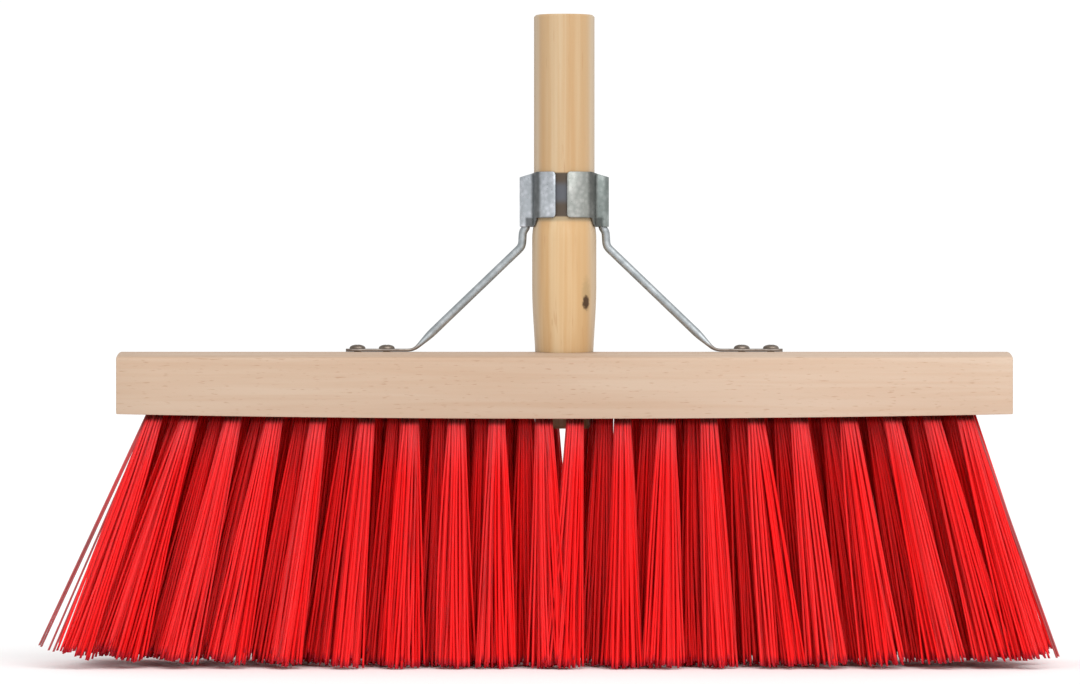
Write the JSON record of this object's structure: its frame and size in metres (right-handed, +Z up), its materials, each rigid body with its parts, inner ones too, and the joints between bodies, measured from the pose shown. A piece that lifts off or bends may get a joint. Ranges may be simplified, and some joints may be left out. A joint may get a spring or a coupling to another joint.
{
  "type": "broom",
  "caption": "Wide straight wooden broom head with red fanned bristles, a round wooden handle stub seated in its top, and a steel clamp with two bent stays screwed to the head.",
  "frame": {"origin": "middle of the bristle tips' plane, under the handle's axis", "axes": "+X along the head to the viewer's right, +Y from front to rear, +Z up along the handle"},
  "size_m": [0.4508, 0.0924, 0.3],
  "materials": {
    "beech": "sanded, bare",
    "pine": "smooth, thinly varnished",
    "zinc": "galvanised, dull",
    "red_bristle": "satin"
  },
  "bodies": {
    "root": {"block": "beech", "handle": "pine", "clamp_half_left": "zinc", "clamp_half_right": "zinc", "clamp_bolt": "zinc", "clamp_nut": "zinc", "stay_left": "zinc", "stay_right": "zinc", "foot_screw_left_outer": "zinc", "foot_screw_left_inner": "zinc", "foot_screw_right_inner": "zinc", "foot_screw_right_outer": "zinc", "bristle_row_1": "red_bristle", "bristle_row_2": "red_bristle", "bristle_row_3": "red_bristle", "bristle_row_3_right": "red_bristle", "bristle_row_4": "red_bristle", "bristle_row_5": "red_bristle"}
  },
  "joints": []
}
